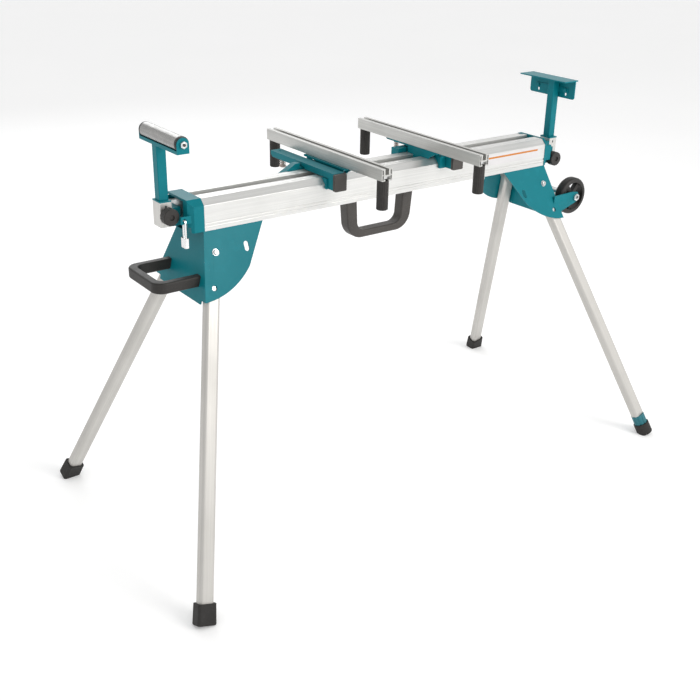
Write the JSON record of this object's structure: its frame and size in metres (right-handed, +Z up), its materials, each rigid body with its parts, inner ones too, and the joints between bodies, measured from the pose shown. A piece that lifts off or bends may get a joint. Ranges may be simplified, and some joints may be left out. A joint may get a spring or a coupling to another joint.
{
  "type": "mitre saw stand",
  "caption": "Folding stand for a mitre saw: a slotted rail with clamped saw arms, sliding end supports with roller and flat stop, splayed folding legs, grip and wheels.",
  "frame": {"origin": "on the floor, centred between the four feet and under the middle of the rail", "axes": "+X along the rail from the grip end to the wheel end, -Y towards the front, +Z up"},
  "size_m": [1.4552, 0.7448, 0.9485],
  "materials": {
    "bare_aluminium": "satin extruded",
    "leg_aluminium": "satin",
    "teal_paint": "satin teal powder coat",
    "zinc_steel": "zinc plated",
    "spring_steel": "warm plated wire",
    "roller_steel": "galvanised",
    "black_plastic": "moulded grain",
    "teal_plastic": "moulded, ribbed collar",
    "foot_rubber": "matte",
    "wheel_rubber": "matte with a moulded hub",
    "padlock_chrome": "polished"
  },
  "bodies": {
    "frame": {"rail_extrusion": "bare_aluminium", "left_end_cap": "teal_paint", "right_end_cap": "teal_paint", "left_leg_bracket": "teal_paint", "right_leg_bracket": "teal_paint", "leg_pivot_bolts": "zinc_steel", "grip_handle": "black_plastic", "carry_handle": "black_plastic", "frame_screws": "zinc_steel", "wheel_axle": "zinc_steel"},
    "left_extension": {"left_extension_tube": "bare_aluminium", "left_end_block": "teal_paint", "left_post_socket": "bare_aluminium"},
    "right_extension": {"right_extension_tube": "bare_aluminium", "right_end_block": "teal_paint", "right_post_socket": "bare_aluminium"},
    "left_mast": {"left_post": "teal_paint", "roller_cradle": "teal_paint", "roller_axle": "zinc_steel"},
    "roller": {"roller": "roller_steel"},
    "right_mast": {"right_post": "teal_paint"},
    "stop_bracket": {"stop_bracket": "teal_paint"},
    "left_post_knob": {"left_post_knob": "black_plastic"},
    "right_post_knob": {"right_post_knob": "black_plastic"},
    "left_saw_bracket": {"left_saw_arm": "bare_aluminium", "left_clamp_base": "teal_paint"},
    "left_lever": {"left_clamp_lever": "teal_paint", "left_lever_grip": "black_plastic", "left_lever_spring": "spring_steel"},
    "left_clamp_jaw": {"left_clamp_jaw": "teal_paint"},
    "left_front_bolt": {"left_front_bolt": "zinc_steel"},
    "left_front_nut": {"left_front_nut": "black_plastic"},
    "left_rear_bolt": {"left_rear_bolt": "zinc_steel"},
    "left_rear_nut": {"left_rear_nut": "black_plastic"},
    "right_saw_bracket": {"right_saw_arm": "bare_aluminium", "right_clamp_base": "teal_paint"},
    "right_lever": {"right_clamp_lever": "teal_paint", "right_lever_grip": "black_plastic", "right_lever_spring": "spring_steel"},
    "right_clamp_jaw": {"right_clamp_jaw": "teal_paint"},
    "right_front_bolt": {"right_front_bolt": "zinc_steel"},
    "right_front_nut": {"right_front_nut": "black_plastic"},
    "right_rear_bolt": {"right_rear_bolt": "zinc_steel"},
    "right_rear_nut": {"right_rear_nut": "black_plastic"},
    "front_left_leg": {"front_left_leg": "leg_aluminium", "front_left_foot": "foot_rubber"},
    "front_left_button": {"front_left_button": "zinc_steel"},
    "rear_left_leg": {"rear_left_leg": "leg_aluminium", "rear_left_foot": "foot_rubber"},
    "rear_left_button": {"rear_left_button": "zinc_steel"},
    "front_right_leg": {"front_right_leg": "leg_aluminium"},
    "front_right_button": {"front_right_button": "zinc_steel"},
    "front_right_adjuster": {"front_right_adjuster": "teal_plastic"},
    "front_right_foot": {"front_right_foot": "foot_rubber"},
    "rear_right_leg": {"rear_right_leg": "leg_aluminium", "rear_right_foot": "foot_rubber"},
    "rear_right_button": {"rear_right_button": "zinc_steel"},
    "front_wheel": {"front_wheel": "wheel_rubber"},
    "rear_wheel": {"rear_wheel": "wheel_rubber"},
    "padlock": {"padlock": "padlock_chrome"}
  },
  "joints": [
    {"name": "left_extension_slide", "type": "slide", "parent": "frame", "child": "left_extension", "axis": [-1, 0, 0], "range_m": [0, 0.68]},
    {"name": "right_extension_slide", "type": "slide", "parent": "frame", "child": "right_extension", "axis": [1, 0, 0], "range_m": [0, 0.68]},
    {"name": "left_mast_height", "type": "slide", "parent": "left_extension", "child": "left_mast", "axis": [0, 0, 1], "range_m": [-0.06, 0.03]},
    {"name": "right_mast_height", "type": "slide", "parent": "right_extension", "child": "right_mast", "axis": [0, 0, 1], "range_m": [-0.06, 0.03]},
    {"name": "roller_spin", "type": "hinge", "parent": "left_mast", "child": "roller", "pos_m": [-0.573, -0.023, 0.933], "axis": [0, 1, 0], "continuous": true},
    {"name": "stop_bracket_height", "type": "slide", "parent": "right_mast", "child": "stop_bracket", "axis": [0, 0, 1], "range_m": [0, 0.01]},
    {"name": "left_post_knob_turn", "type": "hinge", "parent": "left_extension", "child": "left_post_knob", "pos_m": [-0.573, -0.03, 0.769], "axis": [0, -1, 0], "range_deg": [0, 720]},
    {"name": "right_post_knob_turn", "type": "hinge", "parent": "right_extension", "child": "right_post_knob", "pos_m": [0.551, -0.045, 0.742], "axis": [0, -1, 0], "range_deg": [0, 720]},
    {"name": "left_saw_bracket_slide", "type": "slide", "parent": "frame", "child": "left_saw_bracket", "axis": [1, 0, 0], "range_m": [-0.25, 0.07]},
    {"name": "left_lever_lift", "type": "hinge", "parent": "left_saw_bracket", "child": "left_lever", "pos_m": [-0.1815, 0.069, 0.796], "axis": [-1, 0, 0], "range_deg": [0, 50]},
    {"name": "left_jaw_slide", "type": "slide", "parent": "left_saw_bracket", "child": "left_clamp_jaw", "axis": [0, 1, 0], "range_m": [0, 0.003]},
    {"name": "left_front_bolt_slide", "type": "slide", "parent": "left_saw_bracket", "child": "left_front_bolt", "axis": [0, 1, 0], "range_m": [0, 0.06]},
    {"name": "left_front_nut_turn", "type": "hinge", "parent": "left_front_bolt", "child": "left_front_nut", "pos_m": [-0.14, -0.186, 0.79], "axis": [0, 0, 1], "range_deg": [0, 1080]},
    {"name": "left_rear_bolt_slide", "type": "slide", "parent": "left_saw_bracket", "child": "left_rear_bolt", "axis": [0, -1, 0], "range_m": [0, 0.14]},
    {"name": "left_rear_nut_turn", "type": "hinge", "parent": "left_rear_bolt", "child": "left_rear_nut", "pos_m": [-0.14, 0.244, 0.79], "axis": [0, 0, 1], "range_deg": [0, 1080]},
    {"name": "right_saw_bracket_slide", "type": "slide", "parent": "frame", "child": "right_saw_bracket", "axis": [1, 0, 0], "range_m": [-0.07, 0.25]},
    {"name": "right_lever_lift", "type": "hinge", "parent": "right_saw_bracket", "child": "right_lever", "pos_m": [0.1665, 0.069, 0.796], "axis": [-1, 0, 0], "range_deg": [0, 50]},
    {"name": "right_jaw_slide", "type": "slide", "parent": "right_saw_bracket", "child": "right_clamp_jaw", "axis": [0, 1, 0], "range_m": [0, 0.003]},
    {"name": "right_front_bolt_slide", "type": "slide", "parent": "right_saw_bracket", "child": "right_front_bolt", "axis": [0, 1, 0], "range_m": [0, 0.08]},
    {"name": "right_front_nut_turn", "type": "hinge", "parent": "right_front_bolt", "child": "right_front_nut", "pos_m": [0.125, -0.206, 0.79], "axis": [0, 0, 1], "range_deg": [0, 1080]},
    {"name": "right_rear_bolt_slide", "type": "slide", "parent": "right_saw_bracket", "child": "right_rear_bolt", "axis": [0, -1, 0], "range_m": [0, 0.12]},
    {"name": "right_rear_nut_turn", "type": "hinge", "parent": "right_rear_bolt", "child": "right_rear_nut", "pos_m": [0.125, 0.224, 0.79], "axis": [0, 0, 1], "range_deg": [0, 1080]},
    {"name": "front_left_leg_fold", "type": "hinge", "parent": "frame", "child": "front_left_leg", "pos_m": [-0.492, -0.05768, 0.682], "axis": [0, -0.9167, 0.3997], "range_deg": [0, 106.1]},
    {"name": "front_left_button_press", "type": "slide", "parent": "front_left_leg", "child": "front_left_button", "axis": [0, -0.9167, 0.3997], "range_m": [-0.004, 0], "stiffness_N_per_m": 450},
    {"name": "rear_left_leg_fold", "type": "hinge", "parent": "frame", "child": "rear_left_leg", "pos_m": [-0.492, 0.05768, 0.682], "axis": [0, -0.9167, -0.3997], "range_deg": [0, 106.1]},
    {"name": "rear_left_button_press", "type": "slide", "parent": "rear_left_leg", "child": "rear_left_button", "axis": [0, 0.9167, 0.3997], "range_m": [-0.004, 0], "stiffness_N_per_m": 450},
    {"name": "front_right_leg_fold", "type": "hinge", "parent": "frame", "child": "front_right_leg", "pos_m": [0.492, -0.05768, 0.682], "axis": [0, 0.9167, -0.3997], "range_deg": [0, 93.6]},
    {"name": "front_right_button_press", "type": "slide", "parent": "front_right_leg", "child": "front_right_button", "axis": [0, -0.9167, 0.3997], "range_m": [-0.004, 0], "stiffness_N_per_m": 450},
    {"name": "front_right_adjuster_turn", "type": "hinge", "parent": "front_right_leg", "child": "front_right_adjuster", "pos_m": [0.69499, -0.33776, 0.03962], "axis": [0.2782, -0.3839, -0.8805], "range_deg": [0, 720]},
    {"name": "front_right_foot_height", "type": "slide", "parent": "front_right_leg", "child": "front_right_foot", "axis": [0.2782, -0.3839, -0.8805], "range_m": [0, 0.012]},
    {"name": "rear_right_leg_fold", "type": "hinge", "parent": "frame", "child": "rear_right_leg", "pos_m": [0.492, 0.05768, 0.682], "axis": [0, 0.9167, 0.3997], "range_deg": [0, 93.6]},
    {"name": "rear_right_button_press", "type": "slide", "parent": "rear_right_leg", "child": "rear_right_button", "axis": [0, 0.9167, 0.3997], "range_m": [-0.004, 0], "stiffness_N_per_m": 450},
    {"name": "front_wheel_spin", "type": "hinge", "parent": "frame", "child": "front_wheel", "pos_m": [0.598, -0.075, 0.641], "axis": [0, 1, 0], "continuous": true},
    {"name": "rear_wheel_spin", "type": "hinge", "parent": "frame", "child": "rear_wheel", "pos_m": [0.598, 0.075, 0.641], "axis": [0, 1, 0], "continuous": true},
    {"name": "padlock_swing", "type": "hinge", "parent": "frame", "child": "padlock", "pos_m": [-0.549, -0.048, 0.761], "axis": [0, 1, 0], "range_deg": [-12, 40]}
  ],
  "couplings": [
    {"joint": "left_jaw_slide", "follows": "left_lever_lift", "m_per_rad": 0.0034},
    {"joint": "right_jaw_slide", "follows": "right_lever_lift", "m_per_rad": 0.0034},
    {"joint": "front_right_foot_height", "follows": "front_right_adjuster_turn", "m_per_rad": 0.00095}
  ]
}
